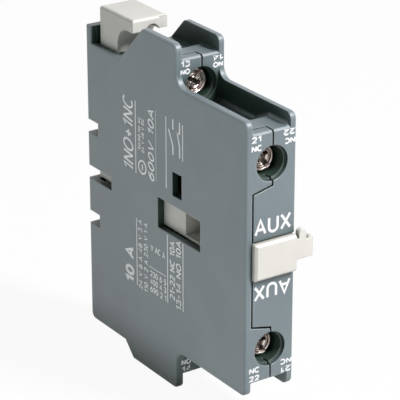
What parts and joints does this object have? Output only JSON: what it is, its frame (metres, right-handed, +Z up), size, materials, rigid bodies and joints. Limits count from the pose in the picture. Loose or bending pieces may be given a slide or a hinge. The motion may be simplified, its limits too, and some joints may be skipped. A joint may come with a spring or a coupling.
{
  "type": "auxiliary contact block",
  "caption": "Slim side-mounted contact block with a stepped grey housing, recessed screw terminals, a sliding beige carrier with a drive lug, and a sprung release latch.",
  "frame": {"origin": "centre of the flat mounting side, half way up and half way back", "axes": "+X out of the mounting side, +Y from the screws towards the rear, +Z up towards the latch"},
  "size_m": [0.0163, 0.064, 0.081],
  "materials": {
    "grey_plastic": "fine moulded texture",
    "beige_plastic": "satin moulded",
    "nickel_steel": "nickel plated",
    "brass": "stamped",
    "silver": "rolled silver",
    "spring_steel": "drawn wire"
  },
  "bodies": {
    "housing": {"base_housing": "grey_plastic", "side_cover": "grey_plastic", "fixed_tips": "silver", "return_spring": "spring_steel", "latch_spring": "spring_steel", "terminal_21": "brass", "terminal_22": "brass", "terminal_13": "brass", "terminal_14": "brass"},
    "carrier": {"contact_carrier": "beige_plastic", "nc_contact_spring": "spring_steel", "no_contact_spring": "spring_steel"},
    "nc_contact": {"nc_bridge": "brass", "nc_bridge_tips": "silver"},
    "no_contact": {"no_bridge": "brass", "no_bridge_tips": "silver"},
    "latch": {"release_latch": "beige_plastic"},
    "clamp_21": {"clamp_washer_21": "nickel_steel"},
    "screw_21": {"terminal_screw_21": "nickel_steel"},
    "clamp_22": {"clamp_washer_22": "nickel_steel"},
    "screw_22": {"terminal_screw_22": "nickel_steel"},
    "clamp_13": {"clamp_washer_13": "nickel_steel"},
    "screw_13": {"terminal_screw_13": "nickel_steel"},
    "clamp_14": {"clamp_washer_14": "nickel_steel"},
    "screw_14": {"terminal_screw_14": "nickel_steel"}
  },
  "joints": [
    {"name": "carrier_slide", "type": "slide", "parent": "housing", "child": "carrier", "axis": [0, 1, 0], "range_m": [0, 0.004], "stiffness_N_per_m": 250, "springref_m": -0.004, "deforming": ["return_spring", "nc_contact_spring", "no_contact_spring"]},
    {"name": "nc_bridge_slide", "type": "slide", "parent": "housing", "child": "nc_contact", "axis": [0, 1, 0], "range_m": [0, 0.003]},
    {"name": "no_bridge_slide", "type": "slide", "parent": "housing", "child": "no_contact", "axis": [0, 1, 0], "range_m": [0, 0.003]},
    {"name": "latch_slide", "type": "slide", "parent": "housing", "child": "latch", "axis": [0, 0, 1], "range_m": [0, 0.003], "stiffness_N_per_m": 300, "springref_m": -0.003, "deforming": ["latch_spring"]},
    {"name": "clamp_slide_21", "type": "slide", "parent": "housing", "child": "clamp_21", "axis": [0, 1, 0], "range_m": [0, 0.0039]},
    {"name": "screw_turn_21", "type": "hinge", "parent": "clamp_21", "child": "screw_21", "pos_m": [-0.0061, -0.0278, 0.0212], "axis": [0, 1, 0], "range_deg": [0, 2340.1]},
    {"name": "clamp_slide_22", "type": "slide", "parent": "housing", "child": "clamp_22", "axis": [0, 1, 0], "range_m": [0, 0.0039]},
    {"name": "screw_turn_22", "type": "hinge", "parent": "clamp_22", "child": "screw_22", "pos_m": [-0.0061, -0.0278, -0.0212], "axis": [0, 1, 0], "range_deg": [0, 2340.1]},
    {"name": "clamp_slide_13", "type": "slide", "parent": "housing", "child": "clamp_13", "axis": [0, 1, 0], "range_m": [0, 0.0039]},
    {"name": "screw_turn_13", "type": "hinge", "parent": "clamp_13", "child": "screw_13", "pos_m": [-0.0061, -0.0031, 0.0306], "axis": [0, 1, 0], "range_deg": [0, 2340.1]},
    {"name": "clamp_slide_14", "type": "slide", "parent": "housing", "child": "clamp_14", "axis": [0, 1, 0], "range_m": [0, 0.0039]},
    {"name": "screw_turn_14", "type": "hinge", "parent": "clamp_14", "child": "screw_14", "pos_m": [-0.0061, -0.0031, -0.0306], "axis": [0, 1, 0], "range_deg": [0, 2340.1]}
  ],
  "couplings": [
    {"joint": "nc_bridge_slide", "follows": "carrier_slide", "ratio": 0.75},
    {"joint": "no_bridge_slide", "follows": "carrier_slide", "ratio": 0.75},
    {"joint": "screw_turn_21", "follows": "clamp_slide_21", "rad_per_m": 10472},
    {"joint": "screw_turn_22", "follows": "clamp_slide_22", "rad_per_m": 10472},
    {"joint": "screw_turn_13", "follows": "clamp_slide_13", "rad_per_m": 10472},
    {"joint": "screw_turn_14", "follows": "clamp_slide_14", "rad_per_m": 10472}
  ]
}
